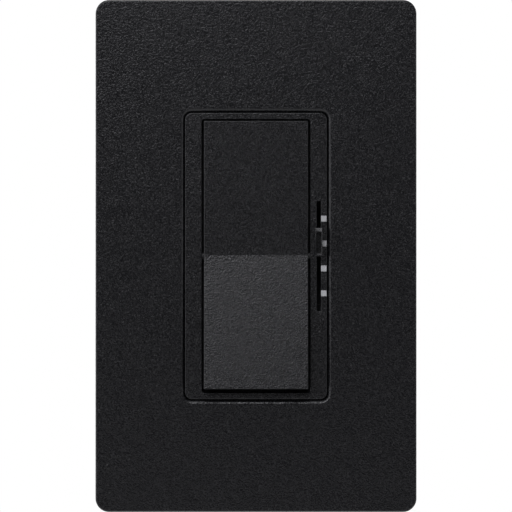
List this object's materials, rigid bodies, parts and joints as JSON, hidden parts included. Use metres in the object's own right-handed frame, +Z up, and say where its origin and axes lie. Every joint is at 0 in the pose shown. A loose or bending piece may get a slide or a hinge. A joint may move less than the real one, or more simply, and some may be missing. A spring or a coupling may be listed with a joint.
{
  "type": "slide dimmer switch",
  "caption": "Single-gang wall dimmer: screwless cover plate, framed rocker paddle, slider knob in an upright slot beside square level marks, metal strap and back housing.",
  "frame": {"origin": "centre of the cover plate on the wall plane, which its back rim lies on", "axes": "+X to the right seen from the front, +Z up, +Y into the wall; the front faces -Y"},
  "size_m": [0.0746, 0.0391, 0.1192],
  "materials": {
    "black_plate": "matte spark-eroded",
    "black_device": "matte spark-eroded",
    "black_adapter": "matte moulded",
    "housing_grey": "matte moulded",
    "switch_phenolic": "matte moulded phenolic",
    "clear_light_pipe": "frosted translucent plastic",
    "white_acetal": "satin",
    "aluminium_strap": "rolled, stamped",
    "zinc_steel": "bright zinc plate",
    "black_screw": "black oxide",
    "green_screw": "green dyed plating",
    "terminal_brass": "stamped",
    "contact_silver": "bright",
    "spring_steel": "drawn wire",
    "winding_copper": "enamelled copper wire",
    "ferrite": "sintered",
    "board_green": "solder mask over glass laminate",
    "fibre_red": "vulcanised fibre",
    "pad_grey": "thermal pad",
    "epoxy_black": "moulded epoxy",
    "capacitor_blue": "dipped",
    "resistor_tan": "lacquered",
    "diac_glass": "glass bead",
    "led_white": "diffused epoxy",
    "track_black": "carbon ink on laminate"
  },
  "bodies": {
    "chassis": {"wallplate_adapter": "black_adapter", "adapter_screw_top": "black_screw", "adapter_screw_bottom": "black_screw", "yoke": "aluminium_strap", "dust_shield": "black_adapter", "mounting_screw_top": "zinc_steel", "mounting_screw_bottom": "zinc_steel", "screw_retainer_top": "fibre_red", "screw_retainer_bottom": "fibre_red", "ground_screw": "green_screw", "bezel": "black_device", "light_pipe": "clear_light_pipe", "potentiometer_housing": "zinc_steel", "resistive_track": "track_black", "traveller_terminal_upper": "terminal_brass", "traveller_terminal_lower": "terminal_brass", "fixed_contact_upper": "contact_silver", "fixed_contact_lower": "contact_silver", "common_terminal": "terminal_brass", "traveller_screw_upper": "terminal_brass", "traveller_screw_lower": "terminal_brass", "common_screw": "black_screw", "switch_base": "switch_phenolic", "back_housing": "housing_grey", "housing_screw_1": "zinc_steel", "housing_screw_2": "zinc_steel", "housing_screw_3": "zinc_steel", "housing_screw_4": "zinc_steel", "circuit_board": "board_green", "triac": "epoxy_black", "triac_insulator": "pad_grey", "triac_rivet": "aluminium_strap", "choke_core": "ferrite", "choke_winding": "winding_copper", "film_capacitor": "capacitor_blue", "timing_capacitor": "resistor_tan", "resistor": "resistor_tan", "diac": "diac_glass", "locator_led": "led_white"},
    "cover": {"wallplate": "black_plate"},
    "paddle": {"rocker_paddle": "black_device", "plunger": "white_acetal", "plunger_spring": "spring_steel"},
    "slider": {"slider_knob": "black_device", "slider_lever": "white_acetal", "wiper_contact": "terminal_brass"},
    "see_saw": {"contact_arm": "terminal_brass", "moving_contact_upper": "contact_silver", "moving_contact_lower": "contact_silver"}
  },
  "joints": [
    {"name": "paddle_rock", "type": "hinge", "parent": "chassis", "child": "paddle", "pos_m": [0, -0.0049, 0], "axis": [1, 0, 0], "range_deg": [0, 6.5]},
    {"name": "see_saw_rock", "type": "hinge", "parent": "chassis", "child": "see_saw", "pos_m": [0, 0.0096, 0], "axis": [1, 0, 0], "range_deg": [-12, 0]},
    {"name": "slider_travel", "type": "slide", "parent": "chassis", "child": "slider", "axis": [0, 0, 1], "range_m": [-0.013, 0.0064]},
    {"name": "cover_pull_off", "type": "slide", "parent": "chassis", "child": "cover", "axis": [0, -1, 0], "range_m": [0, 0.02]}
  ],
  "couplings": [
    {"joint": "see_saw_rock", "follows": "paddle_rock", "ratio": -1.8461}
  ]
}
